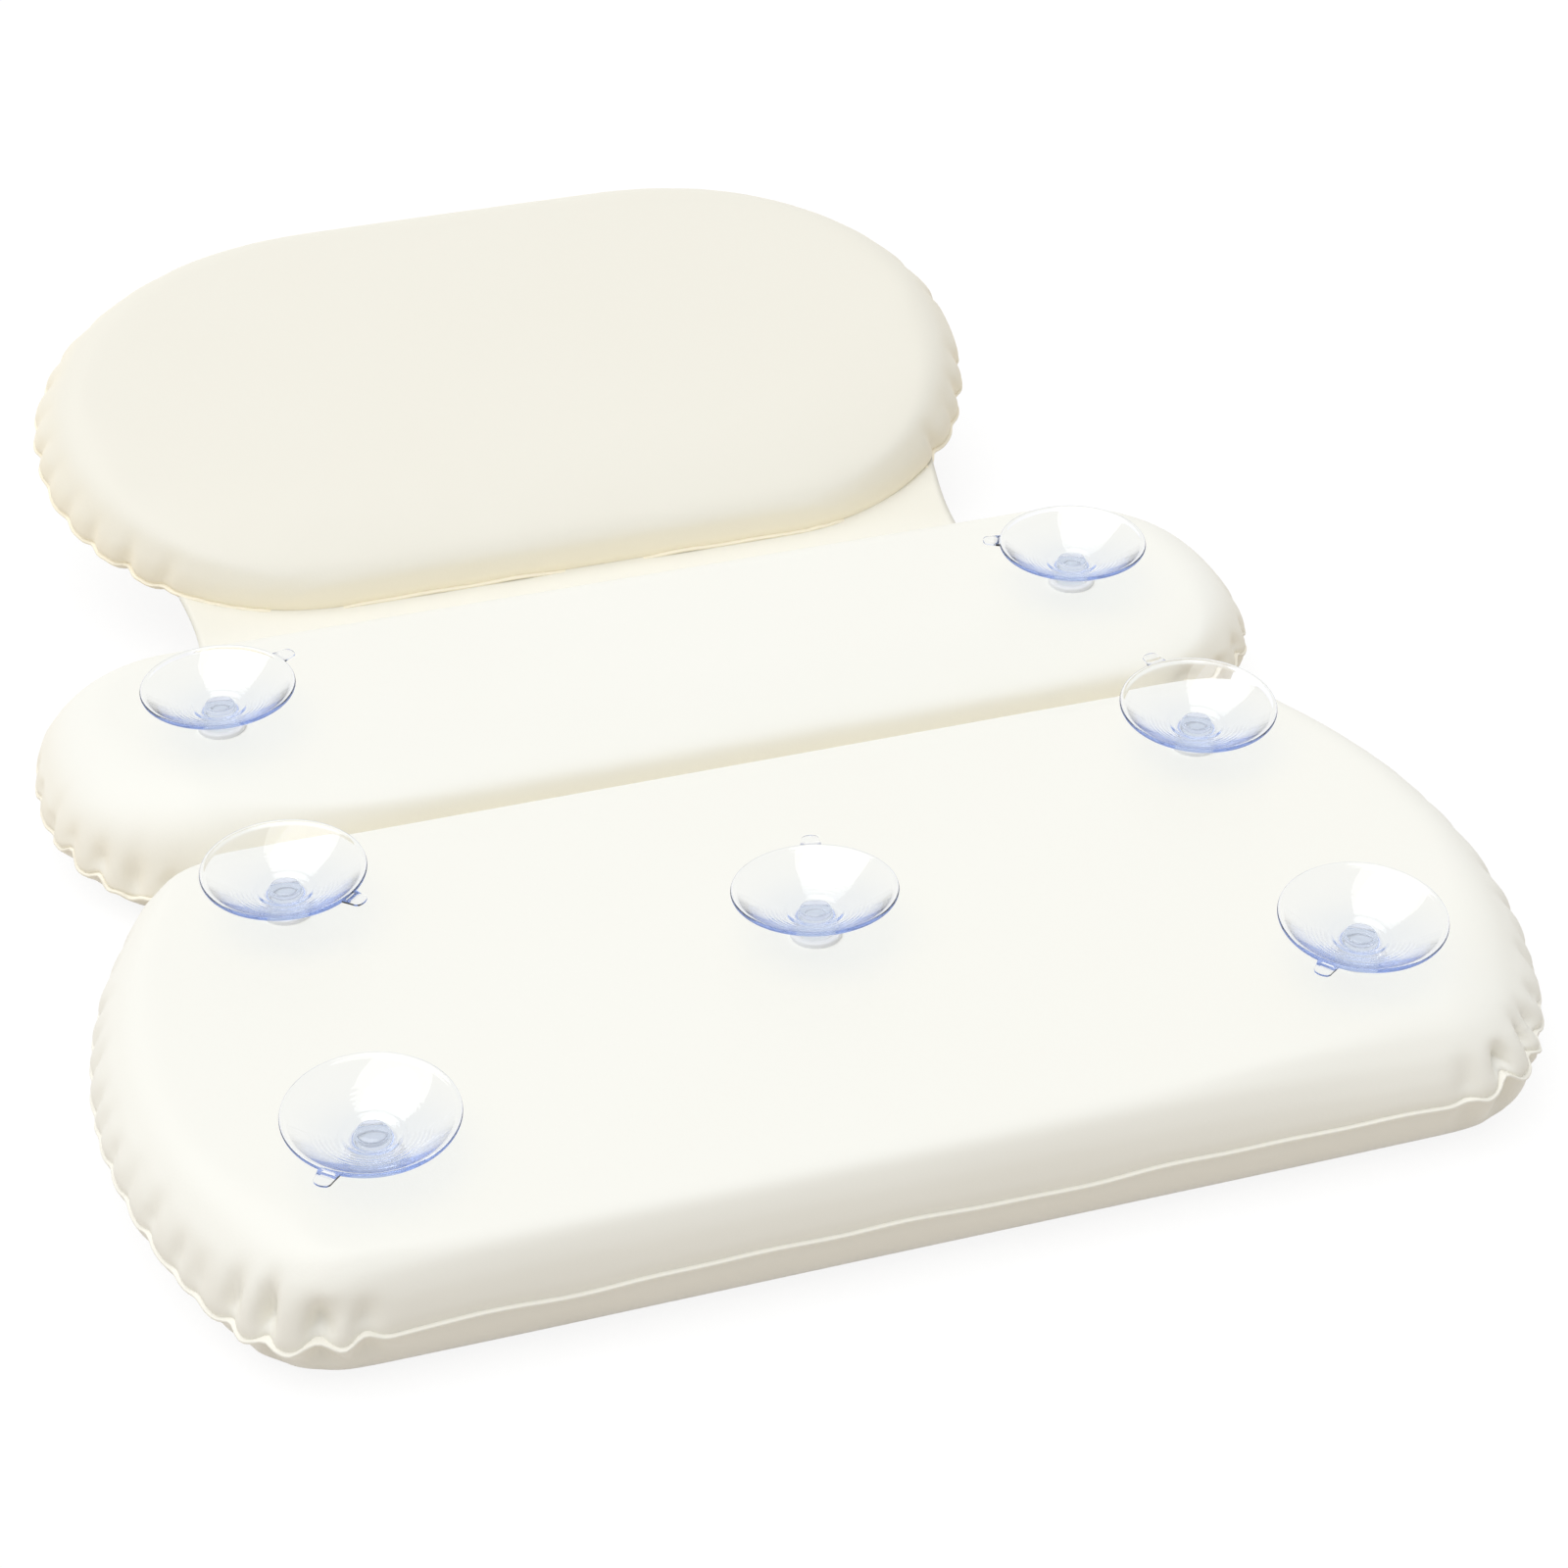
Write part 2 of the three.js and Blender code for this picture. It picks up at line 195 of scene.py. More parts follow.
# Clear vinyl: bluer the more of it a ray goes through and along the lip, with a pale shadow
def makeClearVinyl(finish):
    material, tree, shader = newMaterial("clearCupVinyl")
    link = tree.links.new
    rim = addNode(tree, "ShaderNodeAttribute", attribute_name="rimShare")
    facing = addNode(tree, "ShaderNodeLayerWeight", {"Blend": 0.5})
    edgeSpan = {1: finish["edgeStart"], 2: finish["edgeEnd"]}
    edge = addNode(tree, "ShaderNodeMapRange", edgeSpan, interpolation_type="SMOOTHSTEP")
    share = addNode(tree, "ShaderNodeMath", operation="MULTIPLY")
    tint = addNode(tree, "ShaderNodeMix", {6: finish["clear"], 7: finish["edgeBlue"]}, data_type="RGBA")
    link(facing.outputs["Facing"], edge.inputs["Value"])
    link(edge.outputs["Result"], share.inputs[0])
    link(rim.outputs["Fac"], share.inputs[1])
    link(share.outputs[0], tint.inputs["Factor"])
    link(tint.outputs[2], shader.inputs["Base Color"])
    shader.inputs["Roughness"].default_value = finish["roughness"]
    shader.inputs["IOR"].default_value = finish["ior"]
    shader.inputs["Transmission Weight"].default_value = 1.0
    path = addNode(tree, "ShaderNodeLightPath")
    through = addNode(tree, "ShaderNodeBsdfTransparent", {"Color": finish["lampShare"]})
    surface = addNode(tree, "ShaderNodeMixShader")
    depthTint = {"Color": finish["absorb"], "Density": finish["density"]}
    absorb = addNode(tree, "ShaderNodeVolumeAbsorption", depthTint)
    end = tree.nodes["Material Output"]
    link(path.outputs["Is Shadow Ray"], surface.inputs["Fac"])
    link(shader.outputs["BSDF"], surface.inputs[1])
    link(through.outputs["BSDF"], surface.inputs[2])
    link(surface.outputs["Shader"], end.inputs["Surface"])
    link(absorb.outputs["Volume"], end.inputs["Volume"])
    return material


anchorFinish = {
    "color": (0.95, 0.955, 0.96, 1),
    "roughLow": 0.3,
    "roughHigh": 0.45,
    "transmission": 0.15,
    "cloudScale": 420.0,
}


def makeAnchorVinyl(finish):
    material, tree, shader = newMaterial("anchorVinyl")
    place = addNode(tree, "ShaderNodeTexCoord")
    cloud = addNode(tree, "ShaderNodeTexNoise", {"Scale": finish["cloudScale"], "Detail": 2.0})
    span = addNode(tree, "ShaderNodeMapRange", {3: finish["roughLow"], 4: finish["roughHigh"]})
    tree.links.new(place.outputs["Object"], cloud.inputs["Vector"])
    tree.links.new(cloud.outputs["Fac"], span.inputs["Value"])
    tree.links.new(span.outputs["Result"], shader.inputs["Roughness"])
    shader.inputs["Base Color"].default_value = finish["color"]
    shader.inputs["Transmission Weight"].default_value = finish["transmission"]
    return material


creamVinyl = makeVinyl("creamVinyl", vinylFinish)
middlePaintedLightVinyl = makeVinyl("middlePaintedLightVinyl", middlePaintedLightFinish)
webPaintedShadeVinyl = makeVinyl("webPaintedShadeVinyl", webPaintedShadeFinish)
headPaintedShadeVinyl = makeVinyl("headPaintedShadeVinyl", headPaintedShadeFinish)
clearCupVinyl = makeClearVinyl(clearFinish)
anchorVinyl = makeAnchorVinyl(anchorFinish)
print("materials made")


# Pieces
def addPiece(name, mesh, material):
    piece = bpy.data.objects.new(name, mesh)
    scene.collection.objects.link(piece)
    mesh.materials.clear()
    mesh.materials.append(material)
    return piece


def toMesh(bm, name):
    mesh = bpy.data.meshes.new(name)
    bm.to_mesh(mesh)
    bm.free()
    return mesh


def bakeModifiers(piece):
    graph = bpy.context.evaluated_depsgraph_get()
    baked = bpy.data.meshes.new_from_object(piece.evaluated_get(graph))
    old = piece.data
    piece.modifiers.clear()
    piece.data = baked
    bpy.data.meshes.remove(old)


def smoothShade(mesh):
    mesh.polygons.foreach_set("use_smooth", [True] * len(mesh.polygons))


def readPoints(mesh):
    flat = np.empty(len(mesh.vertices) * 3)
    mesh.vertices.foreach_get("co", flat)
    return flat.reshape(-1, 3)


def readNormals(mesh):
    flat = np.empty(len(mesh.vertices) * 3)
    mesh.vertex_normals.foreach_get("vector", flat)
    return flat.reshape(-1, 3)


def writePoints(mesh, points):
    mesh.vertices.foreach_set("co", points.ravel())
    mesh.update()


# Webs that join the cushions, from seam to seam
webs = {
    "lowerLength": 10 * mm,
    "lowerHalf": 150 * mm,
    "headLength": 22.8 * mm,
    "headHalf": 127 * mm,
    "headTilt": math.radians(16),
    "headShift": -6 * mm,
}

# Cushion plans: straight front and back, round corners, sides that bow out. The top edge rounds
# over further at the sides and the far edge, and may slope down to the near one. A droop is a
# corner where the seam hangs lower
lowerPlan = {
    "width": 390 * mm,
    "depth": 195 * mm,
    "corner": 34 * mm,
    "bow": 16 * mm,
    "backStretch": 0.0,
    "back": {"rise": 18.5 * mm, "reach": 9 * mm},
    "front": {"rise": 17.5 * mm, "reach": 9 * mm},
    "sideReach": 18 * mm,
    "farReach": 5 * mm,
    "underReach": 28 * mm,
    "nearDrop": 0.0,
    "nearSlope": 36 * mm,
    "droops": [
        {
            "at": (-172 * mm, -84 * mm),
            "drop": 5.5 * mm,
            "reach": 8 * mm,
            "tuck": 2 * mm,
            "full": 1.0,
            "spread": 34 * mm,
        },
        {
            "at": (165 * mm, -95 * mm),
            "drop": 0.0,
            "reach": 15 * mm,
            "tuck": 0.0,
            "full": 0.0,
            "spread": 60 * mm,
        },
    ],
    "webHalves": (0.0, webs["lowerHalf"]),
    "seed": 11,
    "gathers": {"lift": (1.4 * mm, 4.0 * mm), "pull": (1.2 * mm, 3.4 * mm)},
}
middlePlan = {
    "width": 375 * mm,
    "depth": 109 * mm,
    "corner": 45 * mm,
    "bow": 1 * mm,
    "backStretch": 0.0,
    "back": {"rise": 18.5 * mm, "reach": 4 * mm},
    "front": {"rise": 17.5 * mm, "reach": 9 * mm},
    "sideReach": 22 * mm,
    "farReach": 18 * mm,
    "underReach": 30 * mm,
    "nearDrop": 8 * mm,
    "nearSlope": 36 * mm,
    "droops": [
        {
            "at": (-162 * mm, -40 * mm),
            "drop": 7 * mm,
            "reach": 26 * mm,
            "tuck": 2 * mm,
            "full": 0.0,
            "spread": 38 * mm,
        },
    ],
    "webHalves": (webs["lowerHalf"], webs["headHalf"]),
    "seed": 23,
    "gathers": {"depth": (1.0 * mm, 2.6 * mm), "reach": (6 * mm, 10 * mm)},
}
headPlan = {
    "width": 313 * mm,
    "depth": 172 * mm,
    "corner": 83 * mm,
    "bow": 0.6 * mm,
    "backStretch": 21 * mm,
    "back": {"rise": 16 * mm, "reach": 5 * mm},
    "front": {"rise": 12 * mm, "reach": 32 * mm},
    "sideReach": 18 * mm,
    "farReach": 14 * mm,
    "underReach": 32 * mm,
    "nearDrop": 6.5 * mm,
    "nearSlope": 46 * mm,
    "droops": [],
    "webHalves": (webs["headHalf"], 0.0),
    "seed": 37,
    "gathers": {
        "spacing": (12.5 * mm, 16 * mm),
        "depth": (0.8 * mm, 2.2 * mm),
        "lift": (0.4 * mm, 1.6 * mm),
        "pull": (1.6 * mm, 4.4 * mm),
    },
}
section = {"edgeSteps": 7, "shrink": 0.8 * mm, "outlineStep": 4 * mm}


def planArcs(plan):
    halfDepth = plan["depth"] / 2
    cornerY = halfDepth - plan["corner"]
    sideAngle = 2 * math.atan(plan["bow"] / cornerY)
    sideRadius = cornerY / math.sin(sideAngle) + plan["corner"]
    cornerX = plan["width"] / 2 - plan["bow"] - plan["corner"]
    sideLength = sideRadius * sideAngle
    cornerLength = plan["corner"] * (math.pi / 2 - sideAngle)
    quarter = sideLength + cornerLength + cornerX
    return {
        "halfDepth": halfDepth,
        "cornerX": cornerX,
        "cornerY": cornerY,
        "sideAngle": sideAngle,
        "sideRadius": sideRadius,
        "sideLength": sideLength,
        "cornerLength": cornerLength,
        "quarter": quarter,
    }


# A point of the right far quarter: its place, the way it faces, and how tight the curve is there
def quarterPoint(plan, arcs, run):
    if run < arcs["sideLength"]:
        turn = run / arcs["sideRadius"]
        centre = plan["width"] / 2 - arcs["sideRadius"]
        spot = (centre + arcs["sideRadius"] * math.cos(turn), arcs["sideRadius"] * math.sin(turn))
        return spot, turn, 1 / arcs["sideRadius"]
    run -= arcs["sideLength"]
    if run < arcs["cornerLength"]:
        turn = arcs["sideAngle"] + run / plan["corner"]
        x = arcs["cornerX"] + plan["corner"] * math.cos(turn)
        y = arcs["cornerY"] + plan["corner"] * math.sin(turn)
        return (x, y), turn, 1 / plan["corner"]
    run -= arcs["cornerLength"]
    return (arcs["cornerX"] - run, arcs["halfDepth"]), math.pi / 2, 0.0


# A round of the seam, counter-clockwise from the middle of the right side
def seamLine(plan, step):
    arcs = planArcs(plan)
    quarter = arcs["quarter"]
    count = 4 * round(quarter / step)
    runs = np.arange(count) * 4 * quarter / count
    spots = np.empty((count, 2))
    outs = np.empty((count, 2))
    bends = np.empty(count)
    for i, run in enumerate(runs):
        part = int(run // quarter)
        along = run - part * quarter
        if part % 2:
            along = quarter - along
        spot, turn, bend = quarterPoint(plan, arcs, along)
        flipX = -1 if part in (1, 2) else 1
        flipY = -1 if part in (2, 3) else 1
        stretch = plan["backStretch"] if flipY > 0 else 0.0
        x = spot[0] - stretch * (1 - math.cos(turn)) if bend else spot[0] * (1 - stretch / arcs["cornerX"])
        out = Vector((math.cos(turn), math.sin(turn) * (1 + stretch * bend))).normalized()
        spots[i] = (flipX * x, flipY * spot[1])
        outs[i] = (flipX * out.x, flipY * out.y)
        bends[i] = bend
    return {"runs": runs, "spots": spots, "outs": outs, "bends": bends, "length": 4 * quarter}


# Gathers where the welded vinyl is drawn round a curve
gatherStyle = {
    "spacing": (10 * mm, 15 * mm),
    "depth": (4.0 * mm, 7.5 * mm),
    "width": (2.7 * mm, 3.6 * mm),
    "reach": (12 * mm, 18 * mm),
    "lean": 0.2,
    "lift": (1.0 * mm, 3.2 * mm),
    "pull": (0.8 * mm, 2.4 * mm),
    "tightRadius": 46 * mm,
    "leastShare": 0.3,
    "leastDrawn": 0.05,
    "liftSigns": (1, 1, 1, -0.6),
    "webMargin": 3 * mm,
    "blur": 9 * mm,
    "slowWave": 0.45 * mm,
    "slowWaves": ((9, 1.0), (17, 0.6), (31, 0.4)),
}


def bell(distance, width):
    return np.exp(-((distance / width) ** 2))


# How strongly the seam gathers at each run: the tighter its curve, the more, fading past the curve's ends
def gatherShares(line, style):
    shares = np.clip(line["bends"] * style["tightRadius"], style["leastShare"], 1) * (line["bends"] > 0)
    apart = np.arange(-3 * style["blur"], 3 * style["blur"], line["runs"][1])
    weights = bell(apart, style["blur"])
    wrapped = np.concatenate([shares[-len(apart):], shares, shares[:len(apart)]])
    return np.convolve(wrapped, weights / weights.sum(), "same")[len(apart):-len(apart)]


def drawGathers(plan, style):
    draw = random.Random(plan["seed"])
    line = seamLine(plan, 1 * mm)
    shares = gatherShares(line, style)
    found = []
    run = draw.uniform(0, style["spacing"][0])
    while run < line["length"] - style["spacing"][0]:
        nearest = int(run / line["length"] * len(shares))
        webHalf = plan["webHalves"][int(line["outs"][nearest][1] > 0)]
        share = shares[nearest] if abs(line["spots"][nearest][0]) > webHalf - style["webMargin"] else 0.0
        gather = {
            "run": run,
            "width": draw.uniform(*style["width"]),
            "backDepth": share * draw.uniform(*style["depth"]),
            "frontDepth": share * draw.uniform(*style["depth"]),
            "reach": draw.uniform(*style["reach"]),
            "lean": draw.uniform(-style["lean"], style["lean"]),
            "lift": share * draw.uniform(*style["lift"]) * draw.choice(style["liftSigns"]),
            "pull": share * draw.uniform(*style["pull"]),
        }
        if share > style["leastDrawn"]:
            found.append(gather)
        run += draw.uniform(*style["spacing"])
    return found


def wrapRun(distance, length):
    return (distance + length / 2) % length - length / 2


# Where the seam hangs lower, round one corner
def droopShare(droop, spots):
    away = np.linalg.norm(spots - np.array(droop["at"]), axis=1)
    return bell(away, droop["spread"])


# How far the seam is lifted and drawn in at each run along it
def seamWander(plan, gathers, runs, length, spots):
    lift = np.zeros(len(runs))
    pull = np.zeros(len(runs))
    for droop in plan["droops"]:
        lift -= droop["drop"] * droopShare(droop, spots)
    for gather in gathers:
        near = bell(wrapRun(runs - gather["run"], length), gather["width"])
        lift += gather["lift"] * near
        pull += gather["pull"] * near
    turns = 2 * math.pi * runs / length
    for i, (count, share) in enumerate(gatherStyle["slowWaves"], start=1):
        lift += gatherStyle["slowWave"] * share * np.sin(count * turns + i * plan["seed"])
    return lift, pull


# Plain swelling form: the plan's face is inset step by step up a rounded edge, on both sides
def cushionForm(plan, name):
    line = seamLine(plan, section["outlineStep"])
    bm = bmesh.new()
    rim = [bm.verts.new((x, y, 0)) for x, y in line["spots"]]
    for side, ring in ((plan["back"], rim), (plan["front"], rim[::-1])):
        face = bm.faces.new(ring)
        face.normal_update()
        reach = side["reach"]
        height = side["rise"] - section["shrink"]
        for i in range(section["edgeSteps"]):
            turn = math.pi / 2 * i / section["edgeSteps"]
            nextTurn = math.pi / 2 * (i + 1) / section["edgeSteps"]
            bmesh.ops.inset_region(
                bm,
                faces=[face],
                thickness=reach * (math.cos(turn) - math.cos(nextTurn)),
                depth=height * (math.sin(nextTurn) - math.sin(turn)),
                use_boundary=True,
                use_even_offset=True,
            )
    return toMesh(bm, name)


# Cloth that swells over the foam, held at the seam
swellStyle = {
    "voxel": 3.2 * mm,
    "smoothRounds": 3,
    "heldBand": 2.5 * mm,
    "pressure": 4.0,
    "frames": 20,
    "mostMove": 0.7 * mm,
    "evenRounds": 40,
    "tension": 60.0,
    "bending": 10.0,
}


def remesh(piece, style):
    voxels = piece.modifiers.new("voxels", "REMESH")
    voxels.mode = "VOXEL"
    voxels.voxel_size = style["voxel"]
    relax = piece.modifiers.new("relax", "SMOOTH")
    relax.factor = 0.5
    relax.iterations = style["smoothRounds"]
    bakeModifiers(piece)


# Foam under the vinyl evens out the cloth's small lumps
def evenOut(mesh, moves, rounds):
    ends = np.empty(len(mesh.edges) * 2, dtype=int)
    mesh.edges.foreach_get("vertices", ends)
    first, second = ends.reshape(-1, 2).T
    counts = np.bincount(ends, minlength=len(moves))[:, None]
    for i in range(rounds):
        total = np.zeros_like(moves)
        np.add.at(total, first, moves[second])
        np.add.at(total, second, moves[first])
        moves = (moves + total / counts) / 2
    return moves


def swell(piece, style):
    start = readPoints(piece.data)
    held = piece.vertex_groups.new(name="seam")
    held.add([i for i, z in enumerate(start[:, 2]) if abs(z) < style["heldBand"]], 1.0, "ADD")
    cloth = piece.modifiers.new("swell", "CLOTH")
    cloth.settings.vertex_group_mass = held.name
    cloth.settings.use_pressure = True
    cloth.settings.uniform_pressure_force = style["pressure"]
    cloth.settings.effector_weights.gravity = 0
    cloth.settings.quality = 5
    cloth.settings.tension_stiffness = style["tension"]
    cloth.settings.compression_stiffness = style["tension"]
    cloth.settings.bending_stiffness = style["bending"]
    cloth.point_cache.frame_start = 1
    cloth.point_cache.frame_end = style["frames"]
    for step in range(1, style["frames"] + 1):
        scene.frame_set(step)
    bakeModifiers(piece)
    scene.frame_set(1)
    move = evenOut(piece.data, readPoints(piece.data) - start, style["evenRounds"])
    size = np.linalg.norm(move, axis=1, keepdims=True)
    share = np.minimum(1.0, style["mostMove"] / np.maximum(size, 1e-9))
    writePoints(piece.data, start + move * share)
    piece.vertex_groups.clear()


def subdivide(piece):
    finer = piece.modifiers.new("finer", "SUBSURF")
    finer.levels = 1
    finer.render_levels = 1
    bakeModifiers(piece)


# Where each point lies from the seam: the run along it, how far in, and how high
def seamPlace(points, line):
    tree = kdtree.KDTree(len(line["runs"]))
    for i, (x, y) in enumerate(line["spots"]):
        tree.insert((x, y, 0), i)
    tree.balance()
    nearest = np.array([tree.find((x, y, 0))[1] for x, y, z in points])
    offset = points[:, :2] - line["spots"][nearest]
    out = line["outs"][nearest]
    inset = -(offset * out).sum(1)
    side = offset[:, 0] * -out[:, 1] + offset[:, 1] * out[:, 0]
    return line["runs"][nearest] + side, inset, out


crease = {"depth": 0.5 * mm, "height": 1.8 * mm, "band": 7 * mm, "reach": 10 * mm}


# The cover's points near the seam go back to the section, which smoothing has drawn in
def seamInset(plan, height):
    rise = np.where(height > 0, plan["back"]["rise"], plan["front"]["rise"])
    reach = np.where(height > 0, plan["back"]["reach"], plan["front"]["reach"])
    share = np.clip(np.abs(height) / rise, 0, 1)
    return reach * (1 - np.sqrt(1 - share ** 2)) + crease["depth"] * bell(height, crease["height"])


rounding = {"leastInset": 0.2 * mm, "underPower": 6}


# Height of a quarter round at each inset, as a share of its full height
def roundShare(inset, reach):
    near = np.clip(inset, rounding["leastInset"], None)
    return np.sqrt(1 - (1 - np.minimum(near / reach, 1)) ** 2)


# How much lower the top edge lies where it rounds over further than the plain form or slopes down
def edgeDrop(plan, inset, out, spots):
    plain = plan["back"]["reach"]
    far = np.maximum(out[:, 1], 0) ** 2
    side = out[:, 0] ** 2
    reach = plain + (plan["sideReach"] - plain) * side + (plan["farReach"] - plain) * far
    for droop in plan["droops"]:
        reach += droop["reach"] * droopShare(droop, spots)
    slope = (1 - np.clip(inset / plan["nearSlope"], 0, 1)) ** 2 * np.maximum(-out[:, 1], 0) ** 2
    kept = 1 - plan["nearDrop"] / plan["back"]["rise"] * slope
    return roundShare(inset, reach) / roundShare(inset, plain) * kept


# The same for the soft side, which rounds under further at the ends, but stays full at a low corner
def underDrop(plan, inset, out, spots):
    plain = plan["front"]["reach"]
    share = out[:, 0] ** rounding["underPower"]
    for droop in plan["droops"]:
        share *= 1 - droop["full"] * np.sqrt(droopShare(droop, spots))
    return roundShare(inset, plain + (plan["underReach"] - plain) * share) / roundShare(inset, plain)


# Bands of the cover near the seam: the tuck under a droop, the gathers' shallow foot, and the wander
sculptStyle = {
    "tuckDepth": 7 * mm,
    "tuckBand": 5 * mm,
    "footShare": 0.8,
    "footBand": 3 * mm,
    "wanderHeight": 8 * mm,
    "wanderReach": 14 * mm,
    "wideStart": 0.8,
    "wideGrowth": 0.5,
    "deepStart": 0.7,
    "deepGrowth": 1.2,
}


def sculptGathers(piece, plan, gathers):
    style = sculptStyle
    mesh = piece.data
    points = readPoints(mesh)
    normals = readNormals(mesh)
    line = seamLine(plan, 1 * mm)
    runs, inset, out = seamPlace(points, line)
    height = points[:, 2].copy()
    back = (inset - seamInset(plan, height)) * bell(height, crease["band"]) * (inset < crease["reach"])
    points[:, :2] += out * back[:, None]
    inset = inset - back
    spots = points[:, :2] + out * inset[:, None]
    upper = edgeDrop(plan, inset, out, spots)
    under = underDrop(plan, inset, out, spots)
    points[:, 2] *= np.where(height > 0, upper, under)
    height = points[:, 2].copy()
    for droop in plan["droops"]:
        tuck = droop["tuck"] * droopShare(droop, spots) * bell(height + style["tuckDepth"], style["tuckBand"])
        points[:, :2] -= out * (tuck * (height < 0))[:, None]
    far = np.hypot(np.maximum(inset, 0), height)
    groove = np.zeros(len(points))
    for gather in gathers:
        depth = np.where(height > 0, gather["backDepth"], gather["frontDepth"])
        beside = wrapRun(runs - gather["run"] - gather["lean"] * far, line["length"])
        share = np.clip(far / gather["reach"], 0, 1)
        wide = gather["width"] * (style["wideStart"] + style["wideGrowth"] * share)
        fade = (1 - share) ** 2 * (1 + 2 * share) * (style["deepStart"] + style["deepGrowth"] * share)
        groove += depth * bell(beside, wide) * fade
    groove *= 1 - style["footShare"] * bell(far, style["footBand"])
    points -= normals * groove[:, None]
    lift, pull = seamWander(plan, gathers, runs, line["length"], spots)
    near = bell(height, style["wanderHeight"]) * bell(np.maximum(inset, 0), style["wanderReach"])
    points[:, 2] += lift * near
    points[:, :2] -= out * (pull * near)[:, None]
    writePoints(mesh, points)


# Welded flange: a strip along the seam that follows its wander, thickened and rounded
flangeStyle = {
    "width": 0.9 * mm,
    "inner": 3.2 * mm,
    "thickness": 0.8 * mm,
    "step": 1.5 * mm,
    "bevelShare": 0.35,
    "frill": 0.35 * mm,
    "frillPitch": 7 * mm,
    "overWeb": 0.7 * mm,
    "sideFall": 0.7 * mm,
    "sideNarrow": 0.75,
}


def makeFlange(name, plan, gathers, material):
    line = seamLine(plan, flangeStyle["step"])
    lift, pull = seamWander(plan, gathers, line["runs"], line["length"], line["spots"])
    overNear, overFar = (flangeStyle["overWeb"] * (half > 0) for half in plan["webHalves"])
    across = line["outs"][:, 1]
    lift += overNear * np.maximum(-across, 0) ** 8 + overFar * np.maximum(across, 0) ** 8
    waves = np.round(line["length"] / flangeStyle["frillPitch"])
    frill = flangeStyle["frill"] * np.sin(2 * math.pi * waves * line["runs"] / line["length"])
    frill *= np.minimum(1, line["bends"] * gatherStyle["tightRadius"])
    inner = line["spots"] - line["outs"] * (pull + flangeStyle["inner"])[:, None]
    width = flangeStyle["width"] * (1 - flangeStyle["sideNarrow"] * line["outs"][:, 0] ** 4)
    outer = line["spots"] - line["outs"] * (pull - width)[:, None]
    bm = bmesh.new()
    loop = [bm.verts.new((x, y, z)) for (x, y), z in zip(inner, lift)]
    edges = [bm.edges.new((a, b)) for a, b in zip(loop, loop[1:] + loop[:1])]
    grown = bmesh.ops.extrude_edge_only(bm, edges=edges)
    edgeLoop = [v for v in grown["geom"] if isinstance(v, bmesh.types.BMVert)]
    bm.verts.index_update()
    fall = flangeStyle["sideFall"] * line["outs"][:, 0] ** 2
    for spot, (x, y), z in zip(edgeLoop, outer, lift + frill - fall):
        spot.co = (x, y, z)
    bmesh.ops.recalc_face_normals(bm, faces=bm.faces)
    piece = addPiece(name, toMesh(bm, name), material)
    wall = piece.modifiers.new("wall", "SOLIDIFY")
    wall.thickness = flangeStyle["thickness"]
    wall.offset = 0
    edge = piece.modifiers.new("edge", "BEVEL")
    edge.width = flangeStyle["bevelShare"] * flangeStyle["thickness"]
    edge.segments = 2
    edge.limit_method = "ANGLE"
    bakeModifiers(piece)
    smoothShade(piece.data)
    return piece


# Share of painted wall light at each point, for the vinyl's painted tint: none where it lies level, one where
# it stands steep
paintedWallLightStyle = {"levelRise": 0.9, "steepRise": 0.3}


def addShare(mesh, name, values):
    share = mesh.attributes.new(name, "FLOAT", "POINT")
    share.data.foreach_set("value", values)


def paintedWallLightShares(mesh):
    rise = np.abs(readNormals(mesh)[:, 2])
    span = paintedWallLightStyle["levelRise"] - paintedWallLightStyle["steepRise"]
    return np.clip((paintedWallLightStyle["levelRise"] - rise) / span, 0, 1)


def makeCushion(name, plan, place, body, nodes, material):
    gathers = drawGathers(plan, {**gatherStyle, **plan["gathers"]})
    cover = addPiece(name + "_cushion_cover", cushionForm(plan, name), material)
    remesh(cover, swellStyle)
    swell(cover, swellStyle)
    subdivide(cover)
    sculptGathers(cover, plan, gathers)
    smoothShade(cover.data)
    # Painted light: the cover's steep walls take the painted wall colour
    addShare(cover.data, "paintedWallLightShare", paintedWallLightShares(cover.data))
    flange = makeFlange(name + "_seam_flange", plan, gathers, material)
    # The flange takes the painted wall colour all over: painted light on its lit strip, as on the walls
    addShare(flange.data, "paintedWallLightShare", np.ones(len(flange.data.vertices)))
    for piece in (cover, flange):
        piece.data.transform(place)
        piece.data.materials.clear()
        piece.data.materials.append(material)
        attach(piece, body)
    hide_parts(*nodes)
    print(name, "cushion:", len(cover.data.polygons), "faces,", len(gathers), "gathers")
    return cover


seamZ = joints["lower_fold"]["pos_m"][2]
lowerFoldY = joints["lower_fold"]["pos_m"][1]
headFoldY = joints["head_fold"]["pos_m"][1]
middleY = (lowerFoldY + webs["lowerLength"] / 2 + headFoldY - webs["headLength"] / 2) / 2
headReach = webs["headLength"] / 2 + headPlan["depth"] / 2
headTurn = Matrix.Translation((0, headFoldY, seamZ)) @ Matrix.Rotation(webs["headTilt"], 4, "X")
lowerPlace = Matrix.Translation((0, 0, seamZ))
middlePlace = Matrix.Translation((0, middleY, seamZ))
headPlace = headTurn @ Matrix.Translation((webs["headShift"], headReach, 0))


def skinNodes(name):
    return [name + "_back_skin", name + "_front_skin", name + "_foam_core"]


makeCushion("lower", lowerPlan, lowerPlace, "lower_cushion", skinNodes("lower"), creamVinyl)
makeCushion("middle", middlePlan, middlePlace, "middle_cushion", skinNodes("middle"), middlePaintedLightVinyl)
makeCushion("head", headPlan, headPlace, "head_cushion", skinNodes("head"), headPaintedShadeVinyl)


